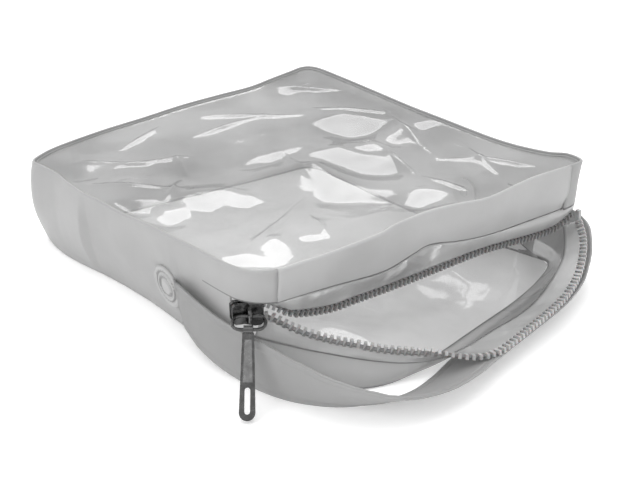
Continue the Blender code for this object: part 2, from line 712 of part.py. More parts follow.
def build_strap(material, cutters):
    """A flat band on edge beside each wall that lays itself outward round the front of the mouth."""
    lower = spline([Vector(station[:3]) * MM for station in STRAP_STATIONS], STRAP_STEPS)
    rises = spline([Vector((station[3], 0, i)) for i, station in enumerate(STRAP_STATIONS)], 400)
    rows = []
    for i, point in enumerate(lower):
        ahead = lower[min(i + 1, STRAP_STEPS - 1)] - lower[max(i - 1, 0)]
        outward = Vector((ahead.y, -ahead.x, 0)).normalized()
        place = nearest_station(point)
        rise = math.radians(min(rises, key=lambda r: abs(r.z - place)).x)
        width = outward * math.cos(rise) + Vector((0, 0, math.sin(rise)))
        rows.append([point, point + width * STRAP_WIDTH])
    right = tongue_rows(2 * (SIDE_STEPS + ARC_STEPS))
    rows = [*tongue_rows(0), *rows, *reversed(right)]
    obj = add_sheet("strap_handle", [[row[0], row[0].lerp(row[1], 0.5), row[1]] for row in rows],
                    STRAP_THICKNESS, material)
    for cutter in cutters:
        combine(obj, cutter, "DIFFERENCE")


def nearest_station(point):
    """Place along the stations, counted in stations, of the spot nearest to a point."""
    best = None
    for i in range(len(STRAP_STATIONS) - 1):
        a = Vector(STRAP_STATIONS[i][:3]) * MM
        b = Vector(STRAP_STATIONS[i + 1][:3]) * MM
        t = max(0.0, min(1.0, (point - a).dot(b - a) / (b - a).length_squared))
        distance = (point - a.lerp(b, t)).length
        if best is None or distance < best[0]:
            best = (distance, i + t)
    return best[1]


# ---------------------------------------------------------------- main

clear_scene()
PARTS = make_collection("shoe_bag")
CUTTERS = make_collection("cutters", hidden=True)

CLEAR = make_material("clear_vinyl", (0.86, 0.86, 0.86), 0.08, alpha=0.35)
FROSTED = make_material("frosted_vinyl", (0.72, 0.72, 0.72), 0.5, alpha=0.85)
TAPE = make_material("zip_tape", (0.78, 0.78, 0.78), 0.35, alpha=0.6)
MOULDED = make_material("moulded_teeth", (0.5, 0.5, 0.5), 0.4)
NICKEL = make_material("nickel", (0.42, 0.42, 0.43), 0.25, metallic=1.0)
BUTTON = make_material("button", (0.7, 0.7, 0.7), 0.4)

holes = build_rivets(BUTTON, BUTTON)
build_side_band(FROSTED, holes)
build_front_band_upper(FROSTED)
build_front_band_lower(FROSTED)
build_top_panel(CLEAR)
build_bottom_panel(CLEAR)
build_zip(TAPE, MOULDED)
build_stops(MOULDED)
slider_place = build_slider(NICKEL).matrix_local
eye_place = build_link(NICKEL, slider_place)
build_pull(NICKEL, eye_place)
build_strap(FROSTED, holes)
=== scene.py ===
"""Looks of the shoe bag: clear and frosted soft vinyl, a moulded zip, a nickel slider and a strap."""
import math

import bmesh
import bpy
import numpy as np
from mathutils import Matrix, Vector, noise


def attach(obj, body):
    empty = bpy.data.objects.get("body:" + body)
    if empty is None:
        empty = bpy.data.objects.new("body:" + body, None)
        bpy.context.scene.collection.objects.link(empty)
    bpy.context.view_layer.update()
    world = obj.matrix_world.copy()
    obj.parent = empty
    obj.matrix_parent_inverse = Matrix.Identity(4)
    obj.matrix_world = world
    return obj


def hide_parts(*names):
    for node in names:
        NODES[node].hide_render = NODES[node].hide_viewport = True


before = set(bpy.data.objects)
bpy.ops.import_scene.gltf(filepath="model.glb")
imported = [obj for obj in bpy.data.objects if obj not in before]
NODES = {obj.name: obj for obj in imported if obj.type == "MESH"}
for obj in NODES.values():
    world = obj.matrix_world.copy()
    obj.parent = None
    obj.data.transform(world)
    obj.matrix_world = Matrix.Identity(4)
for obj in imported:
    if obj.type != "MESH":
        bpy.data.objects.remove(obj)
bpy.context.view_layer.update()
MM = 0.001


def mm(*points):
    """Points given in millimetres."""
    return [Vector(p) * MM for p in points]


# ---------------------------------------------------------------- shape

# The rim and the bottom edge have the same number of points on each side, so that they pair up.
RIM_LEFT = mm((-111, -106, 60.5), (-112, -66, 58), (-113, -27, 56), (-115, -2, 55), (-115, 22, 54),
              (-115.5, 40, 53), (-114, 64, 52), (-111.5, 82, 51), (-112, 101, 50.5), (-112, 114, 50))
RIM_BACK = mm((-104, 121, 50.5), (-90, 123, 53), (-58, 126, 56), (-30, 123.5, 59.5), (-2, 122, 63),
              (25, 117, 66.5), (47, 113, 69), (66, 115, 71), (85, 118, 72.5), (97, 118, 74))
RIM_RIGHT = mm((104, 110, 74), (104.5, 85, 73), (101, 38, 72), (98, 5, 71.5), (97, -22, 71), (98, -72, 69),
               (105.5, -99, 68), (114, -109, 67.5))
RIM_FRONT = mm((113, -120, 67), (101, -122.5, 67), (75, -120.5, 66), (58, -122.5, 66), (33, -125.5, 65.5),
               (16, -121, 65), (-2, -117, 64), (-25, -118.5, 63.5), (-39, -121.5, 63), (-69, -122, 62),
               (-86, -121, 61.5), (-101, -119.5, 61.2))
BASE_LEFT = mm((-106, -100, 0), (-103, -66, 0), (-102, -32, 0), (-102, -5, 0), (-104, 22, 0), (-107, 45, 0),
               (-110, 62, 0), (-112, 80, 0), (-111, 98, 0), (-109, 109, 0))
BASE_BACK = mm((-102, 115, 0), (-85, 116.5, 0), (-55, 117, 0), (-28, 116, 0), (-2, 115, 0), (22, 114, 0),
               (45, 113, 0), (64, 113, 0), (82, 113, 0), (94, 113, 0))
BASE_RIGHT = mm((101, 105, 0), (100.5, 80, 0), (99, 38, 0), (99, 5, 0), (99.5, -22, 0), (102, -66, 0),
                (107.5, -90, 0), (112, -101, 0))
BASE_FRONT = mm((111, -110, 0), (98, -115, 0), (75, -116, 0), (58, -116, 0), (33, -117, 0),
                (16, -117, 0), (-2, -116, 0), (-25, -116, 0), (-39, -116, 0), (-66, -116, 0),
                (-84, -115.5, 0), (-98, -112, 0))
UPPER_WELD = mm((-94, -118.5, 43.7), (-67, -119.5, 43), (-35, -119.5, 41), (-15, -118.5, 44), (-1, -118, 46),
                (21, -120, 43), (45, -121, 41.5), (72, -119.5, 40.5), (98, -119, 40.5), (112, -118, 41.5))
UPPER_CHAIN = mm((-101.6, -106.5, 40.6), (-96.5, -109, 40.3), (-92, -113.5, 37.5), (-86, -116.8, 34.6),
                 (-67, -118.2, 31.3), (-52, -118.2, 31), (-18, -118.2, 31), (18, -118.2, 32),
                 (37, -118.2, 32.4), (56, -118.2, 31.3), (76, -118.5, 29.9), (97, -118.5, 30),
                 (111, -118.2, 35.5))
LOWER_CHAIN = mm((-101.4, -106.5, 32.5), (-96.5, -109, 32.2), (-88, -121.5, 27.2), (-77, -131, 22.5),
                 (-67, -138, 19.5), (-58, -145, 17), (-47, -152, 14.8), (-33, -160.5, 12.8),
                 (-21, -170.2, 11.4), (-9, -174, 11.4), (5, -172.2, 12), (20, -168.8, 12.5),
                 (38, -165, 13.3), (57, -160, 14.6), (76, -152.2, 17.8), (90, -143.8, 22.7),
                 (102, -134, 26.8), (111.5, -122.5, 31))
LOWER_WELD = mm((-105.6, -103, 24), (-99, -112, 22), (-86, -123.7, 17.8), (-76, -131, 14.8),
                (-67, -138, 12.4), (-57.5, -145, 10.4), (-48, -151.5, 9.2), (-37, -156.5, 8.6),
                (-24, -158.5, 8.4), (-8, -157.5, 8.4), (11, -155, 9), (28, -153.5, 9.6), (44, -150.5, 10.6),
                (60, -145.5, 13), (74, -141, 17.5), (86, -135, 21), (97, -126.5, 23.5), (109, -115, 27),
                (111, -109, 33), (110, -101, 36))
LIP_SEAM = mm((-102.6, -101.6, 0.4), (-98, -117, 0.4), (-88, -131.5, 0.4), (-75, -143, 0.4), (-58, -150, 0.4),
              (-38, -150, 0.4), (-15, -144.5, 0.4), (20, -137, 0.4), (55, -129.5, 0.4), (84, -120.5, 0.4),
              (106, -109, 0.4), (106.5, -97, 0.4), (104.5, -86, 0.4))
# The strap's lower edge, and the degrees that its width rises from the floor.
STRAP_STATIONS = (
    (-110.4, -56, 8, 82), (-113.4, -74, 5.5, 88), (-113.3, -92, 3.2, 90), (-110.8, -110, 1.8, 90),
    (-106.5, -125, 1, 86), (-99.5, -139, 0.9, 74), (-87, -152, 0.7, 54), (-71, -160, 0.7, 36),
    (-54, -163, 0.7, 28), (-36, -159.5, 0.7, 24), (-14, -152, 0.7, 20), (20, -143, 0.7, 18),
    (54, -135, 0.7, 19), (78, -128.5, 0.9, 27), (96, -123, 2, 45), (109.5, -116.5, 4, 62),
    (115.5, -104, 6, 74), (115.5, -88, 7.5, 82), (112.8, -72, 8.5, 86), (110, -56, 10, 86),
)
STRAP_WIDTH = 27 * MM
TONGUE_WIDTH = 17 * MM
TONGUE_REACH = 14.5 * MM                        # from the rivet forward to the strap's square end
RIVET_Y = -40 * MM
RIVET_Z = 25.4 * MM
RIVET_RADIUS = 12 * MM

BAND_THICKNESS = 0.9 * MM
LIP_THICKNESS = 0.8 * MM
TAPE_THICKNESS = 0.6 * MM
STRAP_THICKNESS = 1.1 * MM


# ---------------------------------------------------------------- curves

def catmull(points, count, closed=False):
    """Evenly spaced points on a smooth curve through the given ones."""
    n = len(points)
    fine = []
    spans = n if closed else n - 1
    for i in range(spans):
        if closed:
            a, b, c, d = (points[(i + k) % n] for k in (-1, 0, 1, 2))
        else:
            b, c = points[i], points[i + 1]
            a = points[i - 1] if i > 0 else b * 2 - c
            d = points[i + 2] if i + 2 < n else c * 2 - b
        for step in range(16):
            t = step / 16
            fine.append(0.5 * (b * 2 + (c - a) * t + (a * 2 - b * 5 + c * 4 - d) * t ** 2
                               + (b * 3 - a - c * 3 + d) * t ** 3))
    fine.append(points[0] if closed else points[-1])
    return resample(fine, count)


def resample(points, count):
    """Evenly spaced points along a run of straight pieces."""
    lengths = [0.0]
    for a, b in zip(points[:-1], points[1:]):
        lengths.append(lengths[-1] + (b - a).length)
    result = []
    i = 0
    for k in range(count):
        target = lengths[-1] * k / (count - 1)
        while i < len(points) - 2 and lengths[i + 1] < target:
            i += 1
        gap = max(lengths[i + 1] - lengths[i], 1e-9)
        result.append(points[i].lerp(points[i + 1], (target - lengths[i]) / gap))
    return result


def nearest_span(points, point, closed=False):
    """The piece of a line that lies nearest to a point, and the share along it."""
    best = None
    for i in range(len(points) if closed else len(points) - 1):
        a, b = points[i], points[(i + 1) % len(points)]
        t = max(0.0, min(1.0, (point - a).dot(b - a) / (b - a).length_squared))
        gap = (point - a.lerp(b, t)).length
        if best is None or gap < best[0]:
            best = (gap, i, t)
    return best[1], best[2]


def smooth01(t):
    """A soft step from 0 to 1."""
    t = max(0.0, min(1.0, t))
    return t * t * (3 - 2 * t)


def wave(point, scale, seed=0.0):
    """Smooth noise; each seed gives another part of the same field."""
    return noise.noise(Vector((point.x * scale + seed, point.y * scale - seed, point.z * scale + seed * 0.3)))


def outward_of(points, i, closed=False):
    """Level unit vector to the left of a line that runs clockwise from above."""
    n = len(points)
    if closed:
        ahead = points[(i + 1) % n] - points[(i - 1) % n]
    else:
        ahead = points[min(i + 1, n - 1)] - points[max(i - 1, 0)]
    return Vector((-ahead.y, ahead.x, 0)).normalized()


# ---------------------------------------------------------------- mesh helpers

def grid_mesh(name, rows, dark_rows=()):
    """A smooth grid. dark_rows are drawn with the object's second material."""
    mesh = bpy.data.meshes.new(name)
    bm = bmesh.new()
    grid = [[bm.verts.new(p) for p in row] for row in rows]
    for r in range(len(rows) - 1):
        for c in range(len(rows[0]) - 1):
            face = bm.faces.new((grid[r][c], grid[r][c + 1], grid[r + 1][c + 1], grid[r + 1][c]))
            face.material_index = 1 if r in dark_rows else 0
    bmesh.ops.remove_doubles(bm, verts=bm.verts, dist=1e-6)
    bmesh.ops.recalc_face_normals(bm, faces=bm.faces)
    bm.to_mesh(mesh)
    bm.free()
    mesh.shade_smooth()
    return mesh


def add_piece(name, mesh, material, body, replaced):
    """Puts a mesh in the scene on its body, in place of the CAD nodes that it replaces."""
    obj = bpy.data.objects.new(name, mesh)
    bpy.context.scene.collection.objects.link(obj)
    indices = [face.material_index for face in mesh.polygons]
    mesh.materials.clear()
    mesh.materials.append(material)
    if any(indices):
        mesh.materials.append(WELD)
        mesh.polygons.foreach_set("material_index", indices)
    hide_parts(*replaced)
    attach(obj, body)
    return obj


def thicken(obj, thickness):
    solidify = obj.modifiers.new("thickness", "SOLIDIFY")
    solidify.thickness = thickness
    solidify.offset = 0.0


def round_edges(obj, width, segments=2):
    """Bevels the sharp edges."""
    bevel = obj.modifiers.new("edges", "BEVEL")
    bevel.width = width
    bevel.segments = segments
    bevel.limit_method = "ANGLE"
    bevel.angle_limit = math.radians(35)


# ---------------------------------------------------------------- materials

def new_material(name):
    material = bpy.data.materials.new(name)
    material.use_nodes = True
    tree = material.node_tree
    tree.nodes.clear()
    output = tree.nodes.new("ShaderNodeOutputMaterial")
    return material, tree, output


def noise_node(tree, scale, detail=3.0, roughness=0.5, distortion=0.0):
    place = tree.nodes.new("ShaderNodeTexCoord")
    node = tree.nodes.new("ShaderNodeTexNoise")
    node.inputs["Scale"].default_value = scale
    node.inputs["Detail"].default_value = detail
    node.inputs["Roughness"].default_value = roughness
    node.inputs["Distortion"].default_value = distortion
    tree.links.new(place.outputs["Object"], node.inputs["Vector"])
    return node.outputs["Fac"]


def ramp(tree, source, low, high, start=0.3, end=0.7):
    """Turns a noise value into a grey between two tones."""
    node = tree.nodes.new("ShaderNodeValToRGB")
    node.color_ramp.elements[0].position = start
    node.color_ramp.elements[1].position = end
    node.color_ramp.elements[0].color = (low, low, low, 1)
    node.color_ramp.elements[1].color = (high, high, high, 1)
    tree.links.new(source, node.inputs["Fac"])
    return node.outputs["Color"]


def bumps(tree, *layers):
    """Chains bump nodes: each layer is (height socket, distance in metres, strength)."""
    normal = None
    for height, distance, strength in layers:
        node = tree.nodes.new("ShaderNodeBump")
        node.inputs["Distance"].default_value = distance
        node.inputs["Strength"].default_value = strength
        tree.links.new(height, node.inputs["Height"])
        if normal:
            tree.links.new(normal, node.inputs["Normal"])
        normal = node.outputs["Normal"]
    return normal


def mix_shaders(tree, factor, first, second):
    """Mixes two shaders by a number or by a socket."""
    node = tree.nodes.new("ShaderNodeMixShader")
    if isinstance(factor, float):
        node.inputs["Fac"].default_value = factor
    else:
        tree.links.new(factor, node.inputs["Fac"])
    tree.links.new(first, node.inputs[1])
    tree.links.new(second, node.inputs[2])
    return node.outputs[0]


def frosted(name, tone, through=0.3, clear=0.06, rough=0.42, wrinkle=0.5):
    """Soft vinyl with a fine matt grain, a little light let through, and faint cloudiness."""
    material, tree, output = new_material(name)
    cloud = noise_node(tree, 28, 4, 0.55, 0.4)
    grain = noise_node(tree, 2600, 2, 0.6)
    ripple = noise_node(tree, 55, 3, 0.5, 0.6)
    normal = bumps(tree, (ripple, 0.0012, wrinkle), (grain, 0.00006, 0.35))
    body = tree.nodes.new("ShaderNodeBsdfPrincipled")
    tree.links.new(ramp(tree, cloud, tone * 0.93, tone * 1.06), body.inputs["Base Color"])
    tree.links.new(ramp(tree, ripple, rough * 0.85, rough * 1.2), body.inputs["Roughness"])
    body.inputs["Specular IOR Level"].default_value = 0.45
    body.inputs["Coat Weight"].default_value = 0.12
    body.inputs["Coat Roughness"].default_value = 0.22
    tree.links.new(normal, body.inputs["Normal"])
    tree.links.new(normal, body.inputs["Coat Normal"])
    back = tree.nodes.new("ShaderNodeBsdfTranslucent")
    back.inputs["Color"].default_value = (0.8, 0.8, 0.8, 1)
    open_part = tree.nodes.new("ShaderNodeBsdfTransparent")
    open_part.inputs["Color"].default_value = (0.85, 0.85, 0.85, 1)
    mixed = mix_shaders(tree, through, body.outputs[0], back.outputs[0])
    mixed = mix_shaders(tree, clear, mixed, open_part.outputs[0])
    tree.links.new(mixed, output.inputs["Surface"])
    return material


def clear_film(name, tint, haze_low, haze_high, gloss=0.06, wrinkle=0.35, scale=22, milk_tone=0.55):
    """Clear soft vinyl: light passes through, a little haze, and mirror-like highlights on its ripples."""
    material, tree, output = new_material(name)
    ripple = noise_node(tree, scale, 3, 0.45, 0.8)
    fine = noise_node(tree, 160, 2, 0.5)
    cloud = noise_node(tree, 16, 3, 0.5, 0.5)
    normal = bumps(tree, (ripple, 0.003, wrinkle), (fine, 0.0002, 0.12))
    see = tree.nodes.new("ShaderNodeBsdfTransparent")
    see.inputs["Color"].default_value = (tint, tint, tint, 1)
    milk = tree.nodes.new("ShaderNodeBsdfPrincipled")
    milk.inputs["Base Color"].default_value = (milk_tone, milk_tone, milk_tone, 1)
    milk.inputs["Roughness"].default_value = 0.3
    tree.links.new(normal, milk.inputs["Normal"])
    film = mix_shaders(tree, ramp(tree, cloud, haze_low, haze_high), see.outputs[0], milk.outputs[0])
    shine = tree.nodes.new("ShaderNodeBsdfGlossy")
    shine.inputs["Roughness"].default_value = gloss
    tree.links.new(normal, shine.inputs["Normal"])
    edge = tree.nodes.new("ShaderNodeFresnel")
    edge.inputs["IOR"].default_value = 1.54
    tree.links.new(normal, edge.inputs["Normal"])
    tree.links.new(mix_shaders(tree, edge.outputs[0], film, shine.outputs[0]), output.inputs["Surface"])
    return material


def moulded(name, tone):
    """Moulded plastic: satin, with faint flow marks."""
    material, tree, output = new_material(name)
    flow = noise_node(tree, 420, 3, 0.6, 0.5)
    body = tree.nodes.new("ShaderNodeBsdfPrincipled")
    tree.links.new(ramp(tree, flow, tone * 0.85, tone * 1.15), body.inputs["Base Color"])
    tree.links.new(ramp(tree, flow, 0.28, 0.42), body.inputs["Roughness"])
    body.inputs["Subsurface Weight"].default_value = 0.15
    body.inputs["Subsurface Scale"].default_value = 0.001
    tree.links.new(bumps(tree, (flow, 0.0001, 0.3)), body.inputs["Normal"])
    tree.links.new(body.outputs[0], output.inputs["Surface"])
    return material


def plated(name, tone):
    """Nickel plate over a casting, worn lighter in patches."""
    material, tree, output = new_material(name)
    wear = noise_node(tree, 320, 5, 0.65, 0.3)
    scratch = noise_node(tree, 1500, 2, 0.5)
    body = tree.nodes.new("ShaderNodeBsdfPrincipled")
    tree.links.new(ramp(tree, wear, tone * 0.8, tone * 1.3, 0.35, 0.75), body.inputs["Base Color"])
    body.inputs["Metallic"].default_value = 1.0
    tree.links.new(ramp(tree, wear, 0.16, 0.32), body.inputs["Roughness"])
    tree.links.new(bumps(tree, (wear, 0.00012, 0.35), (scratch, 0.00003, 0.3)), body.inputs["Normal"])
    tree.links.new(body.outputs[0], output.inputs["Surface"])
    return material


FROSTED = frosted("frosted_vinyl", 0.44, through=0.3, clear=0.1)
FROSTED_FRONT = frosted("frosted_front", 0.57, clear=0.06, wrinkle=0.3)
FROSTED_LIP = frosted("frosted_lip", 0.56, through=0.35, clear=0.45, wrinkle=0.6, rough=0.3)
STRAP_VINYL = frosted("strap_vinyl", 0.33, through=0.25, clear=0.08, wrinkle=0.3)
WELD = frosted("weld_line", 0.2, through=0.2, clear=0.2, wrinkle=0.3)
TAPE = clear_film("tape_vinyl", 0.9, 0.4, 0.7, gloss=0.12, wrinkle=0.4, scale=60, milk_tone=0.68)
CLEAR_TOP = clear_film("clear_top", 0.92, 0.08, 0.3, gloss=0.12, wrinkle=0.36, milk_tone=0.72)
CLEAR_BOTTOM = clear_film("clear_bottom", 0.77, 0.12, 0.34, gloss=0.06, wrinkle=0.35)
TEETH = moulded("moulded_teeth", 0.4)
CORD = moulded("zip_cord", 0.22)
# Darker copies of the teeth and cord for the upper chain: painted shade.
TEETH_PAINTED_SHADE = moulded("moulded_teeth_painted_shade", 0.28)
CORD_PAINTED_SHADE = moulded("zip_cord_painted_shade", 0.13)
# A darker copy of the button for its grooves and outer edge: painted shade.
GROOVE_PAINTED_SHADE = frosted("button_groove_painted_shade", 0.24, through=0.1, clear=0.03, wrinkle=0.1)
BUTTON = frosted("button", 0.42, through=0.1, clear=0.03, wrinkle=0.1)
NICKEL = plated("nickel", 0.11)
# A lighter copy of the nickel for the pull tab's recess: painted light.
NICKEL_PAINTED_LIGHT = plated("nickel_painted_light", 0.24)


# ---------------------------------------------------------------- pouch

RIM_POINTS = [*RIM_LEFT, *RIM_BACK, *RIM_RIGHT, *RIM_FRONT]
BASE_POINTS = [*BASE_LEFT, *BASE_BACK, *BASE_RIGHT, *BASE_FRONT]
COUNT = 360                                     # columns round the pouch


def matched_base(rim):
    """The bottom edge, matched to the rim point by point."""
    base = []
    for point in rim:
        i, t = nearest_span(RIM_POINTS, point, closed=True)
        base.append(BASE_POINTS[i].lerp(BASE_POINTS[(i + 1) % len(BASE_POINTS)], t))
    for _ in range(3):
        base = [(base[i - 1] + base[i] * 2 + base[(i + 1) % COUNT]) / 4 for i in range(COUNT)]
    return base


RIM = catmull(RIM_POINTS, COUNT + 1, closed=True)[:-1]
BASE = matched_base(RIM)
# The rim runs clockwise from the left front corner; the front side lies between these two columns.
FRONT_CUT = next(i for i in range(COUNT // 2, COUNT) if RIM[i].y < -110 * MM and RIM[i].x < 103 * MM)
LEFT_CUT = max(i for i in range(COUNT) if RIM[i].y < -110 * MM and RIM[i].x > -100 * MM)


def wall_point(i, level, outset=0.0):
    """A point of the wall in column i, where level 0 is the bottom edge and 1 the rim.

    It is moved outwards by outset, in millimetres.
    """
    return BASE[i].lerp(RIM[i], level) + outward_of(RIM, i, closed=True) * outset * MM


WELD_LEVEL = 0.72
WELD_LEVEL_RIGHT = 0.605


def weld_level(i):
    """The share of the wall's height at which the band over the zip ends."""
    return WELD_LEVEL if RIM[i].x < 0 else WELD_LEVEL_RIGHT


def bulge_at(i, level):
    """How far the wall swells, in millimetres."""
    point = RIM[i]
    side = 1.8
    if point.y > 40 * MM and point.x < -80 * MM:
        side = 5.0
    elif point.x < -100 * MM and point.y < -50 * MM:
        side = 0.6
    elif point.x > 90 * MM and point.y < 60 * MM:
        side = 1.8 + 4.2 * math.exp(-((point.y - RIVET_Y) / (32 * MM)) ** 2)
    shape = math.sin(math.pi * min(1.0, level * 1.02)) ** 0.8
    ripple = wave(wall_point(i, level), 26, 3.1) * 2.2 + wave(wall_point(i, level), 60, 8.2) * 0.6
    calm = 0.25 if point.x < -100 * MM and point.y < -40 * MM else 1.0
    return side * shape + ripple * shape * calm


def swollen(i, level):
    """A point of the wall where it swells."""
    return wall_point(i, level, bulge_at(i, level))


# The rolled top edge: distance inside the rim and below it, row by row.
RIM_ROLL = ((2.2, 1.6), (1.7, 0.9), (1.2, 0.35), (0.8, 0.1), (0.35, 0.0), (0.0, 0.25), (-0.1, 0.9))
RIM_WELD_ROWS = (1, 2)
# Heights of the wall's rows above and below the weld, as shares where the weld is at WELD_LEVEL.
UPPER_LEVELS = (0.96, 0.92, 0.87, 0.82, 0.77, 0.73, 0.718)
LOWER_LEVELS = (0.66, 0.6, 0.53, 0.46, 0.39, 0.32, 0.25, 0.18, 0.12, 0.07, 0.03, 0.01)


def rolled_edge(order):
    """The rows of the rim's rolled edge."""
    return [[wall_point(i, 1.0, -inset) - Vector((0, 0, drop * MM)) for i in order]
            for inset, drop in RIM_ROLL]


def build_side_band():
    """The frosted band: a rolled top edge, a soft swelling wall and a foot welded to the bottom."""
    order = list(range(LEFT_CUT, COUNT)) + list(range(0, FRONT_CUT + 1))
    low_first = next(k for k, i in enumerate(order) if i < COUNT // 2 and RIM[i].y > -101 * MM)
    low_last = max(k for k, i in enumerate(order) if RIM[i].x > 90 * MM and RIM[i].y > -104 * MM)
    rows = rolled_edge(order)
    for level in UPPER_LEVELS:
        rows.append([swollen(i, 1 - (1 - level) / (1 - WELD_LEVEL) * (1 - weld_level(i))) for i in order])
    for level in LOWER_LEVELS:
        rows.append([swollen(i, level / WELD_LEVEL * weld_level(i)) for i in order])
    rows.append([wall_point(i, 0.0, -1.5) + Vector((0, 0, 0.6 * MM)) for i in order])
    mesh = bpy.data.meshes.new("side_band_skin")
    bm = bmesh.new()
    grid = [[bm.verts.new(p) for p in row] for row in rows]
    top_rows = len(RIM_ROLL) + len(UPPER_LEVELS) - 1
    for r in range(len(rows) - 1):
        for c in range(len(order) - 1):
            if r >= top_rows and not low_first <= c < low_last:
                continue
            face = bm.faces.new((grid[r][c], grid[r][c + 1], grid[r + 1][c + 1], grid[r + 1][c]))
            weld_line = r == top_rows - 1 and RIM[order[c]].y < -78 * MM
            face.material_index = 1 if r in RIM_WELD_ROWS or r == len(rows) - 2 or weld_line else 0
    bmesh.ops.delete(bm, geom=[v for v in bm.verts if not v.link_faces], context="VERTS")
    bm.to_mesh(mesh)
    bm.free()
    mesh.shade_smooth()
    obj = add_piece("side_band_skin", mesh, FROSTED, "bag", ["side_band"])
    thicken(obj, BAND_THICKNESS)
    return obj


def build_front_band():
    """The frosted band over the zip, with a rolled top edge and a weld line along its foot."""
    order = list(range(FRONT_CUT, LEFT_CUT + 1))
    rim = [RIM[i] for i in order]
    weld = catmull(UPPER_WELD, len(order) * 2)
    foot = []
    for point in rim:
        nearest = min(weld, key=lambda w: abs(w.x - point.x))
        foot.append(Vector((point.x, nearest.y, nearest.z)))
    rows = rolled_edge(order)
    for level in (0.92, 0.82, 0.7, 0.58, 0.46, 0.34, 0.22, 0.12, 0.06, 0.03, 0.0):
        row = []
        for low, high in zip(foot, rim):
            point = low.lerp(high, level)
            swell = math.sin(math.pi * level) * (1.2 + 2.0 * wave(point, 30, 5.0))
            row.append(point + Vector((0, -swell * MM, 0)))
        rows.append(row)
    mesh = grid_mesh("front_band_skin", rows, (*RIM_WELD_ROWS, len(rows) - 2))
    obj = add_piece("front_band_skin", mesh, FROSTED_FRONT, "bag", ["front_band_upper"])
    thicken(obj, BAND_THICKNESS)
    return obj


TOWARDS_MOUTH = Vector((-0.617, -0.787, 0))     # level, towards the corner with the slider
PATCH_LEAN = 0.25
TOP_SAG = 6.0                                   # millimetres
TOP_STEPS = 170
BOTTOM_STEPS = 90
BOTTOM_LEVEL = 0.5                              # millimetres above the floor
SMOOTHING_ROUNDS = 9

# Flat patches of the top film that lean towards the near corner, as outlines in millimetres and a level.
TOP_PATCHES = (
    (((50, 36), (64, 31), (73, 6), (63, -1), (49, 4), (43, 23)), 0.0),
    (((-103, 90), (-94, 81), (-93, 65), (-104, 72)), -1.0),
    (((-110, 21), (-102, 17), (-90, 5), (-94, -11), (-108, 3)), -1.0),
    (((-92, -2), (-101, -18), (-99, -26), (-86, -22), (-79, -12), (-91, -18)), -2.0),
    (((-75, -2), (-66, -1), (-52, -12), (-46, -26), (-49, -39), (-58, -39), (-65, -26), (-74, -28),
      (-81, -18)), 0.5),
    (((-110, -82), (-105, -88), (-98, -89), (-100, -97), (-104, -103), (-109, -94)), -1.0),
    (((-95, -90), (-90, -98), (-96, -111), (-100, -107), (-96, -99)), -1.0),
    (((-77, -86), (-77, -95), (-88, -114), (-95, -112), (-89, -101)), 0.0),
    (((12, 0), (28, -8), (38, -24), (38, -46), (32, -56), (20, -44), (15, -28), (12, -12)), 0.0),
    (((3, -15), (-2, -36), (1, -62), (4, -82), (-6, -68), (-20, -55), (-12, -33)), -1.0),
    (((3, -94), (19, -85), (26, -92), (17, -103), (6, -104)), -1.0),
    (((30, -11), (48, -17), (50, -32), (36, -28)), 1.0),
    (((56, -20), (74, -14), (76, -23), (58, -28)), 0.5),
    (((80, -13), (97, -20), (95, -26), (80, -24)), 0.0),
    (((-18, 26), (2, 20), (20, 9), (-6, 8), (-23, 14)), 0.5),
    (((-66, -93), (-59, -96), (-59, -102), (-67, -100)), 0.0),
    (((60, 98), (84, 96), (86, 88), (62, 88)), 0.0),
)
# The same for the bottom film inside the mouth.
BOTTOM_PATCHES = (
    (((20, -80), (50, -86), (37, -97), (18, -112), (10, -104), (12, -86)), 5.5),
    (((66, -107), (96, -90), (98, -95), (78, -108), (44, -135), (35, -133), (48, -120)), 8.0),
    (((-56, -84), (-47, -93), (-36, -114), (-44, -117), (-53, -106), (-60, -94)), 4.0),
    (((-20, -60), (-4, -72), (-10, -84), (-30, -70)), 4.0),
)
# Sharp creases of the top film: start, end, height in millimetres.
CREASES = (
    ((-92, -87), (-17, -43), 1.6), ((46, -30), (34, -72), 1.8), ((34, -72), (38, -108), 1.4),
    ((4, 16), (-12, -36), 1.2), ((-43, 61), (-56, 26), 1.6), ((-84, 72), (-34, 52), 1.2),
    ((55, 60), (88, 5), 1.4), ((-20, 80), (30, 70), 1.2), ((84, -50), (64, -104), 1.4),
    ((-100, 96), (-60, 58), 1.3), ((66, 104), (96, 62), 1.4), ((-60, 26), (-86, 0), 1.3),
    ((-40, -66), (-56, -106), 1.2), ((-108, 60), (-70, 8), 1.3), ((88, 30), (60, -60), 1.5),
    ((60, -60), (90, -108), 1.2), ((-70, 90), (-20, 108), 1.2), ((0, 100), (50, 50), 1.2),
)
CREASE_GAIN = 1.5
CREASE_WIDTH = 1.7                              # millimetres


def inside(x, y, outline):
    """Whether a point lies in a closed outline."""
    hit = False
    for (ax, ay), (bx, by) in zip(outline, outline[1:] + outline[:1]):
        if (ay > y) != (by > y) and x < ax + (y - ay) * (bx - ax) / (by - ay):
            hit = not hit
    return hit


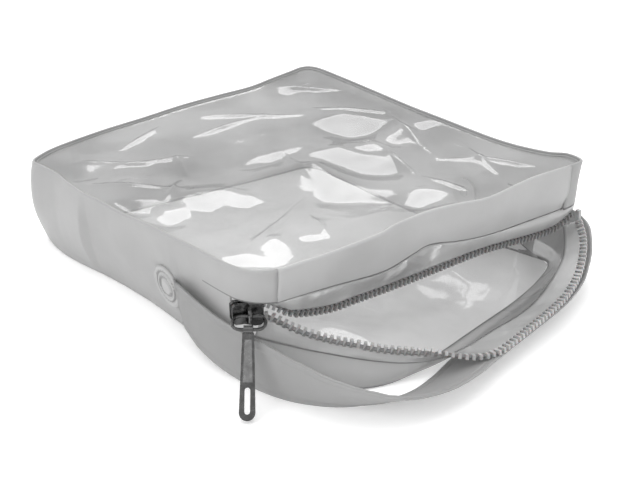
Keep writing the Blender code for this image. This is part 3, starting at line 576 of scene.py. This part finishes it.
def slack_heights(rows, patches, rounds=500):
    """Leaning flat patches with a membrane stretched between them and the edge, in millimetres."""
    held = np.zeros((len(rows), len(rows[0])), bool)
    held[0, :] = held[-1, :] = held[:, 0] = held[:, -1] = True
    height = np.zeros(held.shape)
    for outline, level in patches:
        centre_x = sum(x for x, y in outline) / len(outline)
        centre_y = sum(y for x, y in outline) / len(outline)
        for i, row in enumerate(rows[1:-1], 1):
            for j, point in enumerate(row[1:-1], 1):
                x, y = point.x / MM, point.y / MM
                if inside(x, y, outline):
                    forward = (x - centre_x) * TOWARDS_MOUTH.x + (y - centre_y) * TOWARDS_MOUTH.y
                    height[i, j] = level - PATCH_LEAN * forward
                    held[i, j] = True
    for step in range(rounds + SMOOTHING_ROUNDS):
        spread = height.copy()
        spread[1:-1, 1:-1] = (height[:-2, 1:-1] + height[2:, 1:-1]
                              + height[1:-1, :-2] + height[1:-1, 2:]) / 4
        if step < rounds:
            height = np.where(held, height, spread)
        else:
            height = (height + spread) / 2
    return height


def crease_height(point):
    """Small ripples and sharp creases, in millimetres."""
    x, y = point.x / MM, point.y / MM
    height = wave(Vector((x, y, 0)), 0.03, 1.7) * 1.6 + wave(Vector((x, y, 0)), 0.08, 4.4) * 0.35
    for (ax, ay), (bx, by), crest in CREASES:
        length = (bx - ax) ** 2 + (by - ay) ** 2
        t = max(0.0, min(1.0, ((x - ax) * (bx - ax) + (y - ay) * (by - ay)) / length))
        gap = math.hypot(x - ax - (bx - ax) * t, y - ay - (by - ay) * t)
        fade = math.sin(math.pi * min(1.0, max(0.0, t * 0.9 + 0.05)))
        height += crest * CREASE_GAIN * math.exp(-gap / CREASE_WIDTH) * fade
    return height


def coons(loop, inset, drop, steps):
    """A sheet filling a four-cornered loop, set in from it and below it by so many millimetres."""
    edge = [p + outward_of(loop, i, closed=True) * -inset * MM - Vector((0, 0, drop * MM))
            for i, p in enumerate(loop)]
    n = len(edge)
    goals = [Vector(p) * MM for p in ((-112, -118, 60), (-113, 120, 50), (105, 118, 74), (114, -118, 67))]
    marks = [min(range(n), key=lambda i: (edge[i].xy - goal.xy).length) for goal in goals]
    sides = []
    for k in range(4):
        first, last = marks[k], marks[(k + 1) % 4]
        if last <= first:
            last += n
        sides.append(resample([edge[i % n] for i in range(first, last + 1)], steps + 1))
    left, back, right, front = sides
    right = list(reversed(right))
    front = list(reversed(front))
    rows = []
    for i in range(steps + 1):
        v = i / steps
        row = []
        for j in range(steps + 1):
            u = j / steps
            blend = left[i] * (1 - u) + right[i] * u + front[j] * (1 - v) + back[j] * v
            corners = (left[0] * (1 - u) * (1 - v) + right[0] * u * (1 - v)
                       + left[-1] * (1 - u) * v + right[-1] * u * v)
            row.append(blend - corners)
        rows.append(row)
    return rows


def edge_share(i, j, steps):
    """0 at the edge of a grid, rising to 1 inside."""
    return smooth01(min(i, j, steps - i, steps - j) / steps / 0.11)


def build_top_film():
    """The clear top sheet, which sags inside the rim."""
    rows = coons(RIM, 2.1, 1.5, TOP_STEPS)
    heights = slack_heights(rows, TOP_PATCHES)
    for i, row in enumerate(rows):
        for j, point in enumerate(row):
            share = edge_share(i, j, TOP_STEPS)
            deep = math.sin(math.pi * i / TOP_STEPS) * math.sin(math.pi * j / TOP_STEPS)
            point.z += (heights[i, j] + crease_height(point) * share - TOP_SAG * deep ** 0.8) * MM
    obj = add_piece("top_panel_film", grid_mesh("top_panel_film", rows), CLEAR_TOP, "bag", ["top_panel"])
    return obj


def build_bottom_film():
    """The clear bottom sheet, out to the foot of the lip, with soft ripples inside the mouth."""
    lip = catmull([*LIP_SEAM[:-2], *mm((108, -108, 0.4))], 60)
    loop = []
    for i in range(COUNT):
        if BASE[i].y > -100 * MM:
            loop.append(BASE[i] + outward_of(BASE, i, closed=True) * -1.0 * MM)
    start = min(range(len(loop)), key=lambda i: (loop[i] - lip[0]).length)
    loop = loop[start:] + loop[:start]
    loop = [p for p in loop if not (p.y < -95 * MM and 0 < p.x < 100 * MM)]
    whole = [*loop, *reversed(lip[1:-1])]
    whole = resample([*whole, whole[0]], 361)[:-1]
    for point in whole:
        point.z = BOTTOM_LEVEL * MM
    rows = coons(whole, 0.0, 0.0, BOTTOM_STEPS)
    heights = slack_heights(rows, BOTTOM_PATCHES)
    for i, row in enumerate(rows):
        for j, point in enumerate(row):
            ripple = wave(point, 24, 2.2) * 1.5 + wave(point, 60, 6.0) * 0.5
            lift = heights[i, j] + ripple * edge_share(i, j, BOTTOM_STEPS)
            point.z = (BOTTOM_LEVEL + max(0.0, lift)) * MM
    mesh = grid_mesh("bottom_panel_film", rows)
    obj = add_piece("bottom_panel_film", mesh, CLEAR_BOTTOM, "bag", ["bottom_panel"])
    return obj


# ---------------------------------------------------------------- mouth

LIP_OUTWARD = Vector((-0.25, -0.95, 0))


def build_lip():
    """The band under the zip: it stands at the left and lies outward at the right."""
    steps = 130
    seam = catmull(LIP_SEAM, steps)
    weld = catmull(LOWER_WELD, steps)
    rows = []
    for k in range(15):
        level = k / 14
        row = []
        for low, high in zip(seam, weld):
            point = low.lerp(high, level)
            swell = math.sin(math.pi * level) * (2.0 + 2.4 * wave(point, 28, 7.0))
            row.append(point + LIP_OUTWARD * swell * MM)
        rows.append(row)
    rows.insert(-1, [a.lerp(b, 0.5) for a, b in zip(rows[-2], rows[-1])])
    mesh = grid_mesh("lip_skin", rows, (0, len(rows) - 2))
    obj = add_piece("lip_skin", mesh, FROSTED_LIP, "bag", ["front_band_lower"])
    thicken(obj, LIP_THICKNESS)
    return obj


CHAIN_GAP = 0.9                                 # millimetres from a tape's edge to the middle of the chain


def build_tape_film(name, node, weld, chain):
    """A clear tape from its weld to just short of the chain."""
    steps = 150
    low = catmull(weld, steps)
    high = catmull(chain, steps)
    rows = []
    for k in range(9):
        level = k / 8
        row = []
        for a, b in zip(low, high):
            point = a.lerp(b - (b - a).normalized() * CHAIN_GAP * MM, level)
            ripple = math.sin(math.pi * level) * (0.6 + 0.9 * wave(point, 45, 3.3))
            row.append(point + Vector((0, -ripple * MM, 0)))
        rows.append(row)
    obj = add_piece(name, grid_mesh(name, rows), TAPE, "bag", [node])
    thicken(obj, TAPE_THICKNESS)
    return obj


# ---------------------------------------------------------------- strap

# Places across the strap as shares of its width; the tongues take the middle ones.
# STRAP_SEAMS raises two of them, by so many millimetres.
STRAP_SHARES = (0, 0.02, 0.1, 0.125, 0.15, 0.185, 0.35, 0.5, 0.65, 0.815, 0.85, 0.875, 0.9, 0.98, 1.0)
STRAP_SEAMS = {0.125: 0.4, 0.875: 0.4}
TONGUE_SHARES = (0.185, 0.815)
TONGUE_ROOTS = {"left": -109.5 * MM, "right": 106.6 * MM}
TONGUE_REACHES = (-8.4, -7.8, -6.5, -4, 0, 4, 7, 10, 13)    # forward of the rivet, in millimetres
TONGUE_FLAT = 4 * MM                            # the stretch that stays flat under the button


def tongue_column(side, end_column, reach):
    """A column of points across a tongue, reach metres forward of the rivet."""
    root = TONGUE_ROOTS[side]
    half = TONGUE_WIDTH / 2
    lean = -0.14 if side == "left" else 0.0
    width = math.sqrt(max(0.02, 1 - (reach / half) ** 2)) if reach < 0 else 1.0
    column = []
    for share, end in zip(STRAP_SHARES, end_column):
        v = (share - 0.5) * STRAP_WIDTH * width
        flat = Vector((root + lean * v, RIVET_Y - reach, RIVET_Z + v))
        column.append(flat.lerp(end, smooth01((reach - TONGUE_FLAT) / (TONGUE_REACH - TONGUE_FLAT + 1e-9))))
    return column


def build_strap():
    """A welded strap with a hem groove along each edge and a narrow tongue under each button."""
    steps = 170
    stations = [Vector(station[:3]) * MM for station in STRAP_STATIONS]
    lower = catmull(stations, steps)
    rises = catmull([Vector((i, station[3] / 100, 0)) for i, station in enumerate(STRAP_STATIONS)], 400)
    columns = []
    for i, point in enumerate(lower):
        place = sum(nearest_span(stations, point))
        rise = math.radians(min(rises, key=lambda r: abs(r.x - place)).y * 100)
        ahead = lower[min(i + 1, steps - 1)] - lower[max(i - 1, 0)]
        outward = Vector((ahead.y, -ahead.x, 0)).normalized()
        width = outward * math.cos(rise) + Vector((0, 0, math.sin(rise)))
        face = outward * math.sin(rise) - Vector((0, 0, math.cos(rise)))
        column = []
        for share in STRAP_SHARES:
            cup = math.sin(math.pi * share) * (0.4 + 0.5 * wave(point, 20, 9.0))
            depth = cup + STRAP_SEAMS.get(share, 0.0)
            column.append(point + width * STRAP_WIDTH * share + face * depth * MM)
        columns.append(column)
    left = [tongue_column("left", columns[0], reach * MM) for reach in TONGUE_REACHES]
    right = [tongue_column("right", columns[-1], reach * MM) for reach in reversed(TONGUE_REACHES)]
    whole = [*left, *columns, *right]
    mesh = bpy.data.meshes.new("strap_band")
    bm = bmesh.new()
    grid = [[bm.verts.new(p) for p in column] for column in whole]
    for c in range(len(whole) - 1):
        on_tongue = c < len(left) or c >= len(left) + len(columns) - 1
        for k, low in enumerate(STRAP_SHARES[:-1]):
            if on_tongue and not TONGUE_SHARES[0] <= low < TONGUE_SHARES[1]:
                continue
            bm.faces.new((grid[c][k], grid[c + 1][k], grid[c + 1][k + 1], grid[c][k + 1]))
    bmesh.ops.delete(bm, geom=[v for v in bm.verts if not v.link_faces], context="VERTS")
    bmesh.ops.recalc_face_normals(bm, faces=bm.faces)
    bm.to_mesh(mesh)
    bm.free()
    mesh.shade_smooth()
    obj = add_piece("strap_band", mesh, STRAP_VINYL, "strap", ["strap_handle"])
    thicken(obj, STRAP_THICKNESS)
    return obj


# ---------------------------------------------------------------- carried-over nodes

def paint(name, material, second=None, chosen=None):
    """Gives a node its material, and a second one to the faces that chosen picks by their middle."""
    obj = NODES[name]
    obj.data.materials.clear()
    obj.data.materials.append(material)
    if second:
        obj.data.materials.append(second)
        for face in obj.data.polygons:
            face.material_index = 1 if chosen(obj.matrix_world @ face.center) else 0


CORD_REACH = 1.17 * MM                          # faces closer than this to the zip's cord belong to it
BROAD_FACE = 8 * MM * MM


def near_line(line, distance):
    """Picks the points within a distance of a line."""
    return lambda point: min((point - p).length for p in line) < distance


def on_groove(point):
    """Between the rings of a button and round its outer edge: these faces get the darker copy with painted
    shade.
    """
    share = math.hypot(point.y - RIVET_Y, point.z - RIVET_Z) / RIVET_RADIUS
    return 0.64 < share < 0.76 or 0.38 < share < 0.52 or share > 0.97


def in_recess(name, depth):
    """Picks the middles that lie deeper than depth below the broad outer faces of a flat plate."""
    obj = NODES[name]
    largest = max(obj.data.polygons, key=lambda face: face.area)
    normal = (obj.matrix_world.to_3x3() @ largest.normal).normalized()
    flats = [face for face in obj.data.polygons if abs(face.normal.dot(largest.normal)) > 0.98]
    levels = [(obj.matrix_world @ face.center).dot(normal) for face in flats]
    areas = {}
    for face, level in zip(flats, levels):
        key = round(level / MM, 1)
        areas[key] = areas.get(key, 0.0) + face.area
    broad = [key for key, area in areas.items() if area > BROAD_FACE]
    middle = (min(broad) + max(broad)) / 2
    half = (max(broad) - min(broad)) / 2
    return lambda point: abs(point.dot(normal) / MM - middle) < half - depth / MM


def finish_nodes():
    """Materials and softened edges for the CAD nodes that stay visible."""
    # The upper chain is drawn with the darker copies, which carry painted shade.
    for name, chain, teeth, cord in (
            ("zip_chain_upper", UPPER_CHAIN, TEETH_PAINTED_SHADE, CORD_PAINTED_SHADE),
            ("zip_chain_lower", LOWER_CHAIN, TEETH, CORD)):
        paint(name, teeth, cord, near_line(catmull(chain, 900), CORD_REACH))
        round_edges(NODES[name], 0.2 * MM)
    for name in ("zip_stop_left", "zip_stop_right"):
        paint(name, TEETH)
        round_edges(NODES[name], 0.3 * MM)
    for name in ("rivet_cap_left", "rivet_cap_right"):
        paint(name, BUTTON, GROOVE_PAINTED_SHADE, on_groove)
    for name in ("rivet_back_left", "rivet_back_right"):
        paint(name, BUTTON)
    for name in ("slider_body", "slider_crown", "link_ring"):
        paint(name, NICKEL)
    # The pull tab's recessed faces get the lighter nickel copy: painted light.
    paint("pull_tab", NICKEL, NICKEL_PAINTED_LIGHT, in_recess("pull_tab", 0.2 * MM))
    round_edges(NODES["slider_body"], 0.35 * MM, 3)
    round_edges(NODES["pull_tab"], 0.2 * MM)


# ---------------------------------------------------------------- stage

def area_light(name, place, target, size, energy, size_y=None):
    """A rectangular softbox that faces its target."""
    data = bpy.data.lights.new(name, "AREA")
    data.shape = "RECTANGLE"
    data.size = size
    data.size_y = size_y or size
    data.energy = energy
    obj = bpy.data.objects.new(name, data)
    bpy.context.scene.collection.objects.link(obj)
    obj.location = place
    obj.rotation_euler = (Vector(place) - Vector(target)).to_track_quat("Z", "Y").to_euler()
    return obj


def build_stage():
    """A white paper floor, a pale world and three softboxes."""
    floor_mesh = bpy.data.meshes.new("floor")
    bm = bmesh.new()
    bmesh.ops.create_grid(bm, x_segments=4, y_segments=4, size=4.0)
    bm.to_mesh(floor_mesh)
    bm.free()
    floor = bpy.data.objects.new("floor", floor_mesh)
    bpy.context.scene.collection.objects.link(floor)
    floor.location.z = -0.0002
    material, tree, output = new_material("floor_paper")
    paper = tree.nodes.new("ShaderNodeBsdfPrincipled")
    tree.links.new(ramp(tree, noise_node(tree, 6, 3), 0.9, 0.93), paper.inputs["Base Color"])
    paper.inputs["Roughness"].default_value = 0.8
    paper.inputs["Specular IOR Level"].default_value = 0.1
    paper.inputs["Emission Color"].default_value = (1, 1, 1, 1)
    paper.inputs["Emission Strength"].default_value = 0.25
    tree.links.new(paper.outputs[0], output.inputs["Surface"])
    floor_mesh.materials.append(material)

    world = bpy.data.worlds.new("world")
    bpy.context.scene.world = world
    world.use_nodes = True
    world.node_tree.nodes["Background"].inputs["Color"].default_value = (0.9, 0.9, 0.9, 1)
    world.node_tree.nodes["Background"].inputs["Strength"].default_value = 1.05
    area_light("overhead", (0.0, 0.0, 1.4), (0, 0, 0), 1.2, 6)
    area_light("back_softbox", (0.55, 0.7, 1.1), (0, 0, 0.05), 0.9, 6.8, 0.5)
    area_light("side_softbox", (-0.9, -0.1, 0.6), (0, 0, 0.03), 0.5, 2)


CAMERA_TARGET = Vector((0.022, 0.0022, 0))
CAMERA_BACK = Vector((-0.5637, -0.7189, 0.4067))    # from the target towards the camera
CAMERA_DISTANCE = 0.651
CAMERA_WIDTH = math.radians(34)


def build_camera():
    data = bpy.data.cameras.new("camera")
    data.sensor_fit = "HORIZONTAL"
    data.angle = CAMERA_WIDTH
    data.clip_start = 0.01
    camera = bpy.data.objects.new("camera", data)
    bpy.context.scene.collection.objects.link(camera)
    back = CAMERA_BACK.normalized()
    camera.location = CAMERA_TARGET + back * CAMERA_DISTANCE
    camera.rotation_euler = back.to_track_quat("Z", "Y").to_euler()
    bpy.context.scene.camera = camera


build_camera()
build_side_band()
build_front_band()
build_top_film()
build_bottom_film()
build_lip()
build_tape_film("zip_tape_upper_film", "zip_tape_upper",
                [*mm((-102.5, -114, 44.6)), *UPPER_WELD], [*mm((-97.5, -109.5, 40.4)), *UPPER_CHAIN[2:]])
build_tape_film("zip_tape_lower_film", "zip_tape_lower",
                [*mm((-103, -107, 23)), *LOWER_WELD[1:-2]], [*mm((-99.3, -107.6, 32.3)), *LOWER_CHAIN[1:]])
build_strap()
finish_nodes()
build_stage()
bpy.context.scene.view_settings.view_transform = "Standard"
